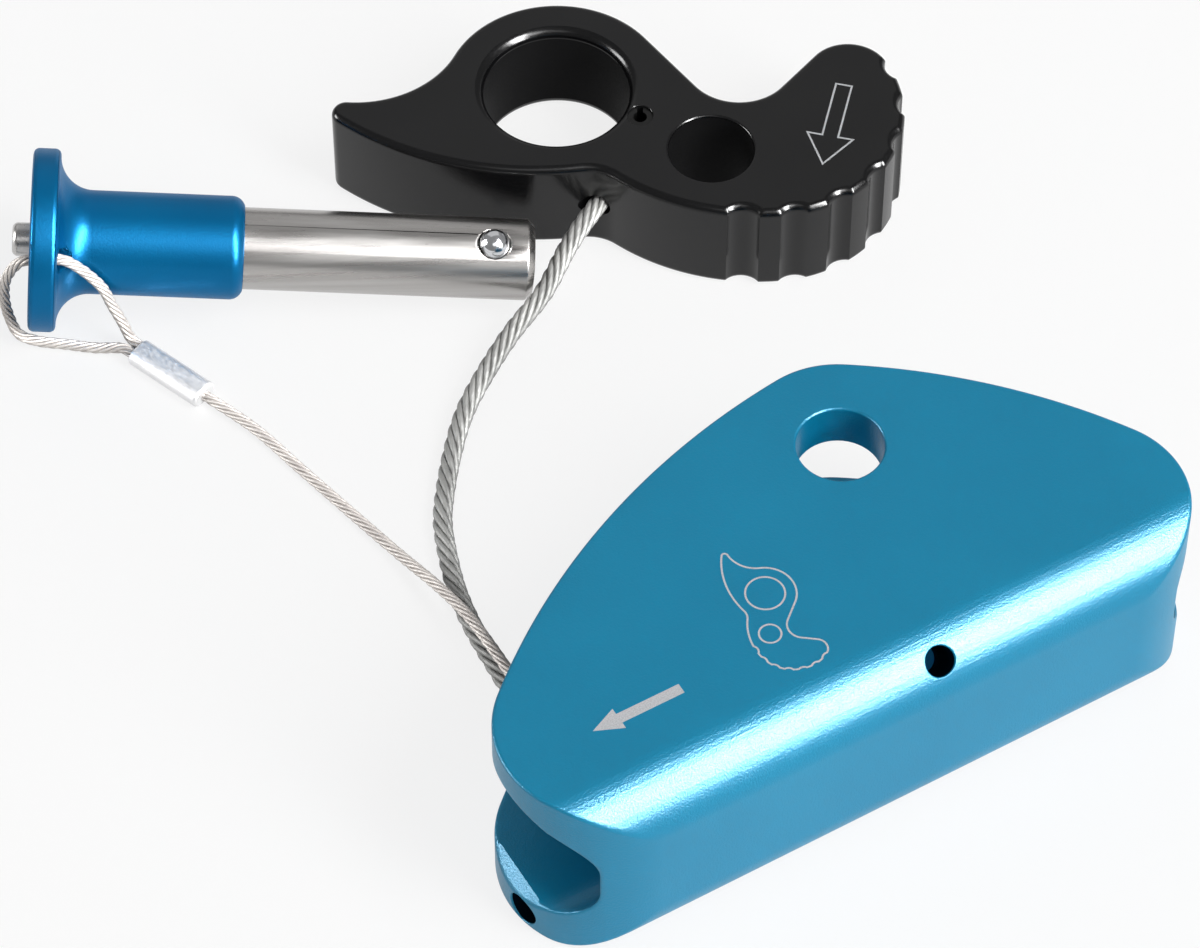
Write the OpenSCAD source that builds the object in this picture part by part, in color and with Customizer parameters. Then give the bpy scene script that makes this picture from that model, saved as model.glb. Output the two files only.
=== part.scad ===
// Rope grab taken apart on a table: shell, cam, quick-release pin and two wire tethers.
// Millimetres. The pin hole of the shell stands on the origin, the shell lies flat on z = 0.

/* [Shell] */
// Height of the shell across both plates
shell_h = 26; // [25:0.5:27]
// Thickness of each plate
plate_t = 5.6; // [5.4:0.1:5.8]
// Thickness of the wall behind the rope
web_t = 2.2; // [2:0.1:3]
// Inside radius of the channel's two corners
root_r = 5.6; // [4.5:0.1:7]
// Chamfer of both plates at the left mouth of the channel
mouth_chamfer = 1.4; // [1:0.1:1.6]
// Outside radius of the bend between wall and plates
bend_r = 6.5; // [5:0.25:7]
// Distance from the pin hole to the front wall
front_d = 30.7; // [30:0.1:31.5]
// Corner radius round the pin hole
apex_r = 11.3; // [10.8:0.1:12]
// Distance from the pin hole to the left corner centre
left_reach = 40.5; // [39:0.5:42]
// Radius of the left corner
left_r = 12; // [11.5:0.1:12.4]
// Distance from the pin hole to the right corner centre
right_reach = 19.5; // [18.5:0.5:21]
// Radius of the right corner
right_r = 10.8; // [10.4:0.1:11.4]
// Bow of the left edge
left_edge_r = 85; // [80:1:95]
// Bow of the right edge
right_edge_r = 75; // [70:1:85]
// Small hole drilled through the bend
bend_hole_d = 3.4; // [2.5:0.1:4]
// Hole drilled into the left end of the lower plate
end_hole_d = 3.9; // [3:0.1:4]

/* [Cam] */
// Side play of the cam between the plates
cam_play = 0.9; // [0.6:0.1:1.1]
// Bore of the connector eye
eye_d = 17.2; // [16.6:0.1:17.6]
// Width of the ring round the eye
ring_w = 4.7; // [4.4:0.1:5]
// Radius of the toothed lobe
lobe_r = 16.2; // [16:0.1:16.5]
// Radius of the nose of the lobe
nose_r = 5.1; // [4.8:0.1:5.4]
// Number of gripping flutes
flutes = 7; // [5:1:7]
// Depth of a flute
flute_depth = 0.7; // [0.5:0.1:0.8]
// Width of a flute
flute_w = 3.4; // [3:0.1:3.8]
// Set pin beside the eye
set_pin_d = 3; // [2.8:0.1:3.1]

/* [Quick-release pin] */
// Diameter of the steel sleeve
sleeve_d = 9.5; // [9.3:0.1:9.7]
// Play of the sleeve in the shell, on the radius
pin_fit = 0.1; // [0.08:0.01:0.15]
// Diameter of the handle flange
flange_d = 21.2; // [20.8:0.1:21.6]
// Thickness of the handle flange
flange_t = 3.2; // [3:0.1:3.4]
// Diameter of the handle barrel
barrel_d = 12; // [11.8:0.1:12.2]
// Length of the handle
handle_l = 24.6; // [24.2:0.1:25.4]
// Length of the sleeve in front of the handle
sleeve_out = 33.5; // [33.1:0.1:33.9]
// Diameter of the locking balls
ball_d = 3.6; // [3.5:0.05:3.65]
// Stroke of the push button
button_stroke = 2; // [1.8:0.1:2]
// Diameter of the push button
button_d = 3.9; // [3.6:0.1:4.2]

/* [Tethers] */
// Wire rope of the pin
pin_rope_d = 1.3; // [1.1:0.1:1.4]
// Wire rope of the cam
cam_rope_d = 2.3; // [2:0.1:2.3]
// Length of the crimp ferrule
ferrule_l = 10.4; // [10:0.1:10.4]

/* [Hidden] */
$fn = 64;
eps = 0.01;
far = 200;
// Overlap that lets two touching curves cross cleanly
bite = 0.02;

// Unit vector at an angle in the plan
function dir(a) = [cos(a), sin(a)];

// Angle of the line from p to q in the plan
function heading(p, q) = atan2(q.y - p.y, q.x - p.x);

// Point at distance r1 from c1 and r2 from c2, on the left (1) or right (-1) of the line c1 to c2
function meet(c1, r1, c2, r2, side) =
    let (d = norm(c2 - c1), u = (c2 - c1) / d, a = (r1 * r1 - r2 * r2 + d * d) / (2 * d))
    c1 + a * u + side * sqrt(r1 * r1 - a * a) * [-u.y, u.x];

// Ends of the line that crosses between two circles and touches both
function cross_line(c1, r1, c2, r2, side) =
    let (a = heading(c1, c2) + side * acos((r1 + r2) / norm(c2 - c1)))
    [c1 + r1 * dir(a), c2 - r2 * dir(a)];

// Smooth curve through the points of a route, a fixed number of steps for each stretch
function curve_at(a, b, c, d, t) =
    0.5 * (2 * b + (c - a) * t + (2 * a - 5 * b + 4 * c - d) * t * t
           + (3 * b - a - 3 * c + d) * t * t * t);
function curve(r, steps) =
    let (n = len(r) - 1)
    concat([for (i = [0 : n - 1], k = [0 : steps - 1])
            curve_at(r[max(i - 1, 0)], r[i], r[i + 1], r[min(i + 2, n)], k / steps)], [r[n]]);

// Tube swept along points, its rings kept square to the path; side is never along the path
module tube(path, d, sides, side) {
    last = len(path) - 1;
    rings = [for (i = [0 : last])
        let (t = path[min(i + 1, last)] - path[max(i - 1, 0)],
             v = cross(t, side) / norm(cross(t, side)),
             u = cross(v, t) / norm(t))
        for (k = [0 : sides - 1])
            let (a = 360 * (k + 0.5) / sides) path[i] + d / 2 * (cos(a) * u + sin(a) * v)];
    walls = [for (i = [0 : last - 1], k = [0 : sides - 1])
        let (m = (k + 1) % sides, p = i * sides, q = p + sides)
        each [[p + k, q + m, p + m], [p + k, q + k, q + m]]];
    first_cap = [for (k = [1 : sides - 2]) [0, k, k + 1]];
    last_cap = [for (k = [1 : sides - 2]) let (p = last * sides) [p, p + k + 1, p + k]];
    polyhedron(points = rings, faces = concat(walls, first_cap, last_cap));
}

// Shell plan: three corner discs joined by bowed edges
apex_c = [0, 0];
left_c = [-left_reach, left_r - front_d];
right_c = [right_reach, right_r - front_d];
left_edge_c = meet(apex_c, left_edge_r - apex_r, left_c, left_edge_r - left_r, 1);
right_edge_c = meet(right_c, right_edge_r - right_r, apex_c, right_edge_r - apex_r, 1);
gap = shell_h - 2 * plate_t;
root_y = -front_d + web_t + root_r;
pin_hole_d = sleeve_d + 2 * pin_fit;

// Rope ends: a bore in the edge of the lower plate, one rope over the other
anchor_x = -38.7;
anchor_face_y = -5;
anchor_l = 9;
anchor_d = 4.4;
rope_gap = 0.4;
rope_pitch = (pin_rope_d + cam_rope_d) / 2 + 0.1;
cam_rope_z = plate_t / 2 - rope_pitch * pin_rope_d / (pin_rope_d + cam_rope_d) - 0.15;
pin_rope_z = cam_rope_z + rope_pitch;

// Cam plan, measured from the pivot bore
cam_at = [15.8, 52.8];
cam_t = gap - 2 * cam_play;
cam_fit = 0.25;
pivot_d = sleeve_d + 2 * cam_fit;
eye_c = [-10.7, 17.4];
ring_r = eye_d / 2 + ring_w;
lobe_c = [8.9, 2.2];
nose_angle = -2;
nose_c = lobe_c + (lobe_r - nose_r) * dir(nose_angle);
flank_angle = 245.6;
flank_shift = 10.65;
flank_r = lobe_r + flank_shift;
flank_c = lobe_c - flank_shift * dir(flank_angle);
tail_r = 37.7;
tail_l = 15.53;
tail_mid = [-26.86, 13.24];
tail_mid_angle = 225;
tail_c = tail_mid - tail_r * dir(tail_mid_angle);
tail_angle = tail_mid_angle - tail_l / tail_r * 180 / PI;
tip_r = 1.7;
tip_c = tail_c + (tail_r - tip_r) * dir(tail_angle);
neck_r = 12.5;
neck_c = meet(eye_c, ring_r + neck_r, tip_c, tip_r + neck_r, -1);
valley_c = [10, 10.3];
valley_r = 6.3;
ring_to_valley = cross_line(eye_c, ring_r, valley_c, valley_r, 1);
valley_to_nose = cross_line(valley_c, valley_r, nose_c, nose_r, -1);
waist_r = 5;
waist_c = meet(tail_c, tail_r + waist_r, flank_c, flank_r + waist_r, -1);
waist_tail_angle = heading(tail_c, waist_c);
waist_flank_angle = heading(flank_c, waist_c);
waist_tail = tail_c + tail_r * dir(waist_tail_angle);
waist_flank = flank_c + flank_r * dir(waist_flank_angle);
heart = [2, 2];
flute_first_angle = -7.2;
flute_pitch_angle = -20.5;
flute_r = (flute_w * flute_w / 4 + flute_depth * flute_depth) / (2 * flute_depth);
rim_r = 0.8;
pivot_chamfer = 0.17;

// Rope fitting in the cam: a bore from the waist, locked by the set pin
set_pin_at = [-4.5, 8.6];
fitting_angle = 18;
fitting_d = cam_rope_d + 1.1;
fitting_start = 2;
fitting_l = 9;
waist_mouth = [-12.5, 4.3];
set_pin_bore = 1.6;
set_pin_slot = 0.7;

// Pin, measured along its own axis from the outside face of the flange
pin_at = [-58, 82.3];
pin_yaw_angle = -29;
fillet_r = 3.8;
barrel_round = 1.6;
pin_l = handle_l + sleeve_out;
tip_chamfer = 0.8;
sleeve_in = 12;
sleeve_x = handle_l - sleeve_in;
sleeve_bore = 6;
bore_end = pin_l - 1.1;
ball_x = pin_l - 4.8;
ball_out = 1.35;
ball_rho = sleeve_d / 2 + ball_out - ball_d / 2;
ball_angle = 108.2;
ball_gap = 0.03;
cone_slope = ball_out / button_stroke;
cone_r = ball_rho - (ball_d / 2 + ball_gap) * sqrt(1 + cone_slope * cone_slope);
spindle_d = sleeve_bore - 0.2;
groove_r = 1;
cone_start = ball_x - (cone_r - groove_r) / cone_slope;
cone_end = ball_x + (spindle_d / 2 - cone_r) / cone_slope;
groove_start = cone_start - 2.4;
spindle_end = cone_end + 0.4;
shoulder_x = 15;
button_fit = 0.08;
button_out = button_stroke + 0.1;
chamber_x = 3.6;
chamber_d = 8;
collar_x = chamber_x + 0.1;
collar_t = 1.5;
collar_d = 7.4;
stud_d = 2.4;
stud_x = 1;
stem_d = 3.6;
spring_wire = 0.7;
spring_d = 6.2;
spring_turns = 5;
spring_start = collar_x + collar_t + spring_wire / 2 + 0.1;
spring_end = sleeve_x - spring_wire / 2 - 0.1;

// The pin rests on the rim of its flange and on the lower ball
rest_a = flange_d / 2 - ball_rho * sin(ball_angle);
rest_b = ball_x - flange_t;
pin_tilt = acos(ball_d / 2 / norm([rest_a, rest_b])) - atan2(rest_b, rest_a);
pin_z = flange_d / 2 * cos(pin_tilt) + flange_t * sin(pin_tilt);
loop_hole_d = 2.3;
loop_hole_r = 8;
loop_hole_angle = 146;

// Crimp ferrule
ferrule_w = 3.6;
ferrule_h = 2.4;
ferrule_z = ferrule_h / 2;
ferrule_at = [-52, 68.6];
ferrule_angle = -69.3;
ferrule_end = ferrule_at + (ferrule_l + rope_gap) * dir(ferrule_angle);
leg = pin_rope_d / 2 + 0.05;
leg_start = ferrule_at - rope_gap * dir(ferrule_angle);
leg_right = leg_start + leg * dir(ferrule_angle + 90);
leg_left = leg_start - leg * dir(ferrule_angle + 90);
leg_out = -1.3 * dir(ferrule_angle);

// Rope routes on the table
pin_rope_low = pin_rope_d / 2 + 0.05;
cam_rope_low = cam_rope_d / 2 + 0.02;
pin_rope_route = [
    [ferrule_end.x, ferrule_end.y, ferrule_z], [-45.6, 52, pin_rope_low + 0.2],
    [-43.8, 44.5, pin_rope_low], [-41.9, 36.2, pin_rope_low], [-40.2, 27.7, 1.3],
    [-39.2, 20, 3.2], [-38.7, 14, 4.2], [-38.6, 7, 4.3],
    [anchor_x, 1, pin_rope_z + 0.1], [anchor_x, anchor_face_y + rope_gap, pin_rope_z]];
fitting_face = cam_at + waist_mouth + (fitting_start - rope_gap) * dir(fitting_angle);
cam_rope_route = [
    [fitting_face.x, fitting_face.y, cam_t / 2],
    [cam_at.x + waist_mouth.x, cam_at.y + waist_mouth.y, cam_t / 2], [-2.7, 53.7, 6.1],
    [-8.6, 49.6, 5.2], [-14.3, 47.2, 3.8], [-19.3, 44.5, 2.6], [-24, 41.2, 1.8],
    [-27.8, 37.3, 1.3], [-31.2, 33, cam_rope_low], [-33.7, 29.2, cam_rope_low],
    [-35.6, 24.6, cam_rope_low], [-37.1, 19.8, cam_rope_low], [-38, 14.6, cam_rope_low],
    [-38.4, 9.4, cam_rope_low], [anchor_x, 4, cam_rope_low + 0.2],
    [anchor_x, anchor_face_y + rope_gap, cam_rope_z]];
loop_route = [
    [leg_right.x, leg_right.y, ferrule_z],
    [leg_right.x + leg_out.x, leg_right.y + leg_out.y, 1.7], [-52.4, 71, 4], [-53.2, 71.6, 7],
    [-54.3, 72.3, 11], [-57, 74.2, 14.7], [-59.45, 75.53, 15.15], [-61.7, 76.8, 14.8],
    [-63.3, 77.7, 12], [-63.8, 77.9, 8.5], [-63.6, 77.6, 5], [-62.9, 77, 2.2],
    [-61, 75.9, pin_rope_low + 0.2], [-58.5, 74.1, pin_rope_low], [-55.8, 71.9, pin_rope_low],
    [leg_left.x + leg_out.x, leg_left.y + leg_out.y, 1.1], [leg_left.x, leg_left.y, ferrule_z]];

// Disc in the plan
module disc(c, r) translate(c) circle(r = r);

// Bowed edge of a large circle between two points on it, as a band of the given depth
module bow(c, r, p, q, depth) intersection() {
    disc(c, r - bite);
    inner = (r - depth) / r;
    polygon([c + inner * (p - c), c + 1.3 * (p - c), c + 1.3 * (q - c), c + inner * (q - c)]);
}

// Plan of the shell
module shell_plan() {
    left_a = left_edge_c + left_edge_r * dir(heading(left_edge_c, left_c));
    left_b = left_edge_c + left_edge_r * dir(heading(left_edge_c, apex_c));
    right_a = right_edge_c + right_edge_r * dir(heading(right_edge_c, apex_c));
    right_b = right_edge_c + right_edge_r * dir(heading(right_edge_c, right_c));
    depth = 1.5 * min(apex_r, left_r, right_r);
    disc(apex_c, apex_r);
    disc(left_c, left_r);
    disc(right_c, right_r);
    bow(left_edge_c, left_edge_r, left_a, left_b, depth);
    bow(right_edge_c, right_edge_r, right_a, right_b, depth);
    polygon([left_c, [left_c.x, -front_d], [right_c.x, -front_d], right_c, apex_c]);
}

// Section of the shell across the channel, with y to the right and z up
module shell_section() difference() {
    union() {
        translate([-front_d, bend_r]) square([far, shell_h - 2 * bend_r]);
        translate([bend_r - front_d, 0]) square([far, shell_h]);
        disc([bend_r - front_d, bend_r], bend_r);
        disc([bend_r - front_d, shell_h - bend_r], bend_r);
    }
    translate([root_y, plate_t]) square([2 * far, gap]);
    translate([root_y - root_r, plate_t + root_r]) square([far, gap - 2 * root_r]);
    disc([root_y, plate_t + root_r], root_r);
    disc([root_y, shell_h - plate_t - root_r], root_r);
}

// Pin hole through both plates, with an eased rim on the side the pin goes in
module pin_holes() {
    ease = 0.3;
    translate([0, 0, -1]) cylinder(d = pin_hole_d, h = shell_h + 2);
    translate([0, 0, shell_h - ease])
        cylinder(d1 = pin_hole_d, d2 = pin_hole_d + 2 * ease + 2 * eps, h = ease + eps);
}

// Drilled holes of the shell: through the bend, into the left end, and for the rope ends
module shell_drillings() {
    bend_x = -5.4;
    end_y = -20.9;
    end_z = 2.3;
    end_depth = 9;
    translate([bend_x, bend_r - front_d, shell_h - bend_r]) rotate([45, 0, 0])
        translate([0, 0, -gap / 2 + 1]) cylinder(d = bend_hole_d, h = gap);
    translate([-left_reach - left_r + end_depth, end_y, end_z]) rotate([0, -90, 0])
        cylinder(d = end_hole_d, h = end_depth + 5);
    translate([anchor_x, anchor_face_y - anchor_l, plate_t / 2]) rotate([-90, 0, 0])
        cylinder(d = anchor_d, h = anchor_l + 12);
}

// Slanted cut that eases the inner edges of both plates at the left mouth
module mouth_cut() {
    mouth_x = left_c.x - left_r;
    over = 2;
    rotate([90, 0, 0]) linear_extrude(height = far, center = true)
        polygon([[mouth_x + mouth_chamfer, plate_t], [mouth_x + mouth_chamfer, shell_h - plate_t],
                 [mouth_x - over, shell_h - plate_t + mouth_chamfer + over],
                 [mouth_x - over, plate_t - mouth_chamfer - over]]);
}

module shell() color([0.12, 0.51, 0.67]) difference() {
    intersection() {
        linear_extrude(height = shell_h) shell_plan();
        translate([-far / 2, 0, 0]) rotate([90, 0, 90]) linear_extrude(height = far) shell_section();
    }
    pin_holes();
    shell_drillings();
    mouth_cut();
}

// Sleeve swaged round both rope ends, pressed into the lower plate
module tether_anchor() color([0.7, 0.7, 0.72])
    translate([anchor_x, anchor_face_y - anchor_l, plate_t / 2]) rotate([-90, 0, 0])
        cylinder(d = anchor_d, h = anchor_l);

module cam_tether() color([0.55, 0.55, 0.57]) tube(curve(cam_rope_route, 2), cam_rope_d, 8, [0, 0, 1]);

// Sector of a disc, from angle a to angle b
module sector(c, r, a, b) intersection() {
    disc(c, r);
    polygon(concat([c], [for (i = [0 : 2]) c + 2 * r * dir(a + (b - a) * i / 2)]));
}

// Tail of the cam, from its tip to the waist
module cam_tail_plan() {
    waist_a = waist_tail_angle + 372;
    intersection() {
        disc(tail_c, tail_r);
        polygon(concat([heart, eye_c, neck_c, tip_c],
                       [for (a = [tail_angle, (tail_angle + waist_a) / 2, waist_a])
                        tail_c + 1.3 * tail_r * dir(a)]));
    }
    disc(tip_c, tip_r + bite);
}

// Lobe and flank of the cam, two arcs that touch
module cam_lobe_plan() {
    sector(lobe_c, lobe_r, nose_angle, flank_angle - 380);
    sector(flank_c, flank_r, waist_flank_angle + 350, flank_angle);
    disc(nose_c, nose_r);
}

// Plan of the cam without its holes
module cam_plan() difference() {
    union() {
        disc(eye_c, ring_r);
        cam_tail_plan();
        cam_lobe_plan();
        polygon([waist_tail, waist_c, waist_flank, heart]);
        polygon([waist_flank / 2, lobe_c - [0, lobe_r / 2], nose_c, valley_to_nose[1], valley_to_nose[0],
                 valley_c, ring_to_valley[1], ring_to_valley[0], eye_c]);
    }
    disc(neck_c, neck_r + bite);
    disc(valley_c, valley_r);
    disc(waist_c, waist_r + bite);
    for (i = [0 : flutes - 1])
        disc(lobe_c + (lobe_r + flute_r - flute_depth)
             * dir(flute_first_angle + i * flute_pitch_angle), flute_r);
}

// Rounded rim of a hole, cut from the top face of a plate at z = 0
module rim_cut(d, r) rotate_extrude() difference() {
    translate([d / 2 - 1, -r]) square([r + 1, r + 1]);
    translate([d / 2 + r, -r]) circle(r = r);
}

module cam_eye() translate(eye_c) {
    translate([0, 0, -1]) cylinder(d = eye_d, h = cam_t + 2);
    translate([0, 0, cam_t]) rim_cut(eye_d, rim_r);
    mirror([0, 0, 1]) rim_cut(eye_d, rim_r);
}

module cam_pivot_bore() {
    c = pivot_chamfer;
    translate([0, 0, -1]) cylinder(d = pivot_d, h = cam_t + 2);
    translate([0, 0, cam_t - c]) cylinder(d1 = pivot_d, d2 = pivot_d + 2 * c + 2 * eps, h = c + eps);
    translate([0, 0, -eps]) cylinder(d1 = pivot_d + 2 * c + 2 * eps, d2 = pivot_d, h = c + eps);
}

// Places a shape that is drawn along z on the bore of the rope fitting
module on_fitting() translate([waist_mouth.x, waist_mouth.y, cam_t / 2])
    rotate([0, 90, fitting_angle]) children();

// Space of the set pin, driven in from the top face
module set_pin_space() translate([set_pin_at.x, set_pin_at.y, cam_t / 2 - fitting_d])
    cylinder(d = set_pin_d, h = cam_t);

module cam() color([0.06, 0.06, 0.07]) translate([cam_at.x, cam_at.y, 0]) difference() {
    linear_extrude(height = cam_t) cam_plan();
    cam_eye();
    cam_pivot_bore();
    set_pin_space();
    on_fitting() translate([0, 0, -8]) cylinder(d = fitting_d, h = fitting_start + fitting_l + 8);
}

// Slotted spring pin, flush with the top face of the cam
module cam_set_pin() color([0.3, 0.3, 0.31]) translate([cam_at.x, cam_at.y, 0]) {
    set_pin_l = cam_t / 2 + fitting_d - 0.3;
    translate([set_pin_at.x, set_pin_at.y, cam_t / 2 - fitting_d]) rotate([0, 0, 60]) difference() {
        cylinder(d = set_pin_d, h = set_pin_l);
        translate([0, 0, -1]) cylinder(d = set_pin_bore, h = set_pin_l + 2);
        translate([0, -set_pin_slot / 2, -1]) cube([set_pin_d, set_pin_slot, set_pin_l + 2]);
    }
}

// Swaged rope end in the cam, notched for the set pin
module cam_tether_fitting() color([0.7, 0.7, 0.72]) translate([cam_at.x, cam_at.y, 0]) difference() {
    on_fitting() translate([0, 0, fitting_start]) cylinder(d = fitting_d, h = fitting_l);
    set_pin_space();
}

// Places a shape that is drawn along z on the axis of the pin
module on_pin() translate([pin_at.x, pin_at.y, pin_z]) rotate([0, pin_tilt, pin_yaw_angle])
    rotate([0, 90, 0]) children();

// Turns a shape round the pin, from level and away from the front wall towards the top
module round_pin(a) rotate([0, 0, a + 90]) children();

// Outside of the handle as radius and length
module handle_section() difference() {
    edge = 0.4;
    union() {
        polygon([[0, 0], [flange_d / 2 - edge, 0], [flange_d / 2, edge],
                 [flange_d / 2, flange_t - edge], [flange_d / 2 - edge, flange_t],
                 [barrel_d / 2 + fillet_r, flange_t], [barrel_d / 2 + fillet_r, flange_t + fillet_r],
                 [barrel_d / 2, flange_t + fillet_r], [barrel_d / 2, handle_l - barrel_round],
                 [barrel_d / 2 - barrel_round, handle_l - barrel_round],
                 [barrel_d / 2 - barrel_round, handle_l], [0, handle_l]]);
        intersection() {
            disc([barrel_d / 2 - barrel_round, handle_l - barrel_round], barrel_round);
            translate([0, handle_l - 2 * barrel_round]) square([barrel_d, 3 * barrel_round]);
        }
    }
    disc([barrel_d / 2 + fillet_r, flange_t + fillet_r], fillet_r);
}

module pin_handle() color([0.04, 0.41, 0.67]) on_pin() difference() {
    rotate_extrude() handle_section();
    translate([0, 0, -1]) cylinder(d = button_d + 2 * button_fit, h = chamber_x + 2);
    translate([0, 0, chamber_x]) cylinder(d = chamber_d, h = sleeve_x - chamber_x + 1);
    translate([0, 0, sleeve_x]) cylinder(d = sleeve_d, h = sleeve_in + 1);
    round_pin(loop_hole_angle) translate([loop_hole_r, 0, -1])
        cylinder(d = loop_hole_d, h = flange_t + fillet_r);
}

// Window of a ball in the sleeve wall
module ball_window(a) round_pin(a) translate([0, 0, ball_x]) rotate([0, 90, 0]) {
    lip = 0.25;
    translate([0, 0, sleeve_bore / 4]) cylinder(d = ball_d + 0.1, h = sleeve_d);
    translate([0, 0, sleeve_d / 2 - lip])
        cylinder(d1 = ball_d + 0.1, d2 = ball_d + 0.1 + 4 * lip, h = 2 * lip);
}

module pin_sleeve() color([0.72, 0.71, 0.69]) on_pin() difference() {
    rotate_extrude() polygon([
        [sleeve_bore / 2, sleeve_x], [sleeve_d / 2, sleeve_x], [sleeve_d / 2, pin_l - tip_chamfer],
        [sleeve_d / 2 - tip_chamfer, pin_l], [0, pin_l], [0, bore_end], [sleeve_bore / 2, bore_end]]);
    ball_window(ball_angle);
    ball_window(ball_angle + 180);
}

module pin_tether() color([0.6, 0.6, 0.62]) tube(curve(pin_rope_route, 2), pin_rope_d, 8, [0, 0, 1]);

module tether_loop() color([0.6, 0.6, 0.62])
    tube(curve(loop_route, 2), pin_rope_d, 8, [cos(pin_yaw_angle + 90), sin(pin_yaw_angle + 90), 0]);

module crimp_ferrule() color([0.75, 0.75, 0.76])
    translate([ferrule_at.x, ferrule_at.y, ferrule_z]) rotate([0, 90, ferrule_angle])
        linear_extrude(height = ferrule_l) {
            side = (ferrule_w - ferrule_h) / 2;
            translate([0, side]) circle(d = ferrule_h);
            translate([0, -side]) circle(d = ferrule_h);
            translate([-ferrule_h / 2, -side]) square([ferrule_h, 2 * side]);
        }

module return_spring() color([0.6, 0.6, 0.62]) on_pin() {
    rings = 8 * spring_turns;
    tube([for (i = [0 : rings]) let (a = 45 * i)
          [spring_d / 2 * cos(a), spring_d / 2 * sin(a),
           spring_start + (spring_end - spring_start) * i / rings]], spring_wire, 6, [0, 0, 1]);
}

module push_button() color([0.7, 0.7, 0.71]) on_pin() difference() {
    edge = 0.4;
    rotate_extrude() polygon([
        [0, -button_out], [button_d / 2 - edge, -button_out], [button_d / 2, edge - button_out],
        [button_d / 2, collar_x], [collar_d / 2, collar_x], [collar_d / 2, collar_x + collar_t],
        [0, collar_x + collar_t]]);
    translate([0, 0, stud_x]) cylinder(d = stud_d, h = collar_x + collar_t);
}

module spindle() color([0.65, 0.65, 0.66]) on_pin() rotate_extrude() polygon([
    [0, stud_x], [stud_d / 2, stud_x], [stud_d / 2, collar_x + collar_t],
    [stem_d / 2, collar_x + collar_t], [stem_d / 2, shoulder_x], [spindle_d / 2, shoulder_x],
    [spindle_d / 2, groove_start], [groove_r, groove_start], [groove_r, cone_start],
    [spindle_d / 2, cone_end], [spindle_d / 2, spindle_end], [0, spindle_end]]);

// Locking ball in its window
module locking_ball(a) color([0.8, 0.8, 0.8]) on_pin() round_pin(a)
    translate([ball_rho, 0, ball_x]) sphere(d = ball_d);

module ball_upper() locking_ball(ball_angle);

module ball_lower() locking_ball(ball_angle + 180);

shell();
tether_anchor();
cam_tether();
cam();
cam_set_pin();
cam_tether_fitting();
pin_handle();
pin_sleeve();
pin_tether();
tether_loop();
crimp_ferrule();
return_spring();
push_button();
spindle();
ball_upper();
ball_lower();
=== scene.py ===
import math

import bmesh
import bpy
from mathutils import Matrix, Vector


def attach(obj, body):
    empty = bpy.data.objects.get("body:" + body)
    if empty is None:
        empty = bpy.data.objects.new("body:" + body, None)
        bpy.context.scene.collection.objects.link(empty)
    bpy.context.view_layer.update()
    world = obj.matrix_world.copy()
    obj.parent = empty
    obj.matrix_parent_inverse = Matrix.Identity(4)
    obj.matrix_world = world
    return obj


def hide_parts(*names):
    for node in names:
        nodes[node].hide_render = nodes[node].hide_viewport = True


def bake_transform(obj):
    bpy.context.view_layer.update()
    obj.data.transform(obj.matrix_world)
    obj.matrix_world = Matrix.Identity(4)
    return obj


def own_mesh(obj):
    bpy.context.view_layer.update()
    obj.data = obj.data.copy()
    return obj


MM = 0.001
TINY = 1e-6
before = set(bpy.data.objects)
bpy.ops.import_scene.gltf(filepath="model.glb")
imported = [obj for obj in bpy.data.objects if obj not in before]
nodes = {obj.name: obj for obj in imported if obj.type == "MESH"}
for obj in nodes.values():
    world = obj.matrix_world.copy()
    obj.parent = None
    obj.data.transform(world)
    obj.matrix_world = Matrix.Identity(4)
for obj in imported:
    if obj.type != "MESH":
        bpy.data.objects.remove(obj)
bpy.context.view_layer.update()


# Camera place and aim, in millimetres
CAMERA_AT = Vector((-207.5, -301.4, 498.1))
CAMERA_TARGET = Vector((-14.46, 26.86, 0))


# Camera at the viewing angle of the picture
def make_camera():
    data = bpy.data.cameras.new("camera")
    data.sensor_fit = "HORIZONTAL"
    data.sensor_width = 36
    data.lens = 165
    data.clip_start = 0.01
    camera = bpy.data.objects.new("camera", data)
    camera.location = CAMERA_AT * MM
    target = CAMERA_TARGET * MM
    camera.rotation_euler = (target - camera.location).to_track_quat("-Z", "Y").to_euler()
    bpy.context.scene.collection.objects.link(camera)
    bpy.context.scene.camera = camera


# Mesh object from points and faces
def make_mesh(name, points, faces, material=None, smooth=True):
    mesh = bpy.data.meshes.new(name)
    mesh.from_pydata(points, [], faces)
    mesh.polygons.foreach_set("use_smooth", [smooth] * len(mesh.polygons))
    obj = bpy.data.objects.new(name, mesh)
    bpy.context.scene.collection.objects.link(obj)
    if material:
        mesh.materials.append(material)
    return obj


# Smooth curve through a route, in metres
def curve_through(route, steps):
    pts = [Vector(p) * MM for p in route]
    ends = [2 * pts[0] - pts[1]] + pts + [2 * pts[-1] - pts[-2]]
    out = []
    for i in range(len(pts) - 1):
        a, b, c, d = ends[i:i + 4]
        for k in range(steps):
            t = k / steps
            out.append(0.5 * (2 * b + (c - a) * t + (2 * a - 5 * b + 4 * c - d) * t ** 2
                              + (3 * b - a - 3 * c + d) * t ** 3))
    return out + [pts[-1]]


# Points at an even spacing along a polyline
def even_points(points, spacing):
    lengths = [0]
    for a, b in zip(points, points[1:]):
        lengths.append(lengths[-1] + (b - a).length)
    count = max(2, round(lengths[-1] / spacing))
    out = []
    k = 0
    for i in range(count + 1):
        s = lengths[-1] * i / count
        while k < len(points) - 2 and lengths[k + 1] < s:
            k += 1
        share = (s - lengths[k]) / (lengths[k + 1] - lengths[k])
        out.append(points[k].lerp(points[k + 1], share))
    return out, lengths[-1]


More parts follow.
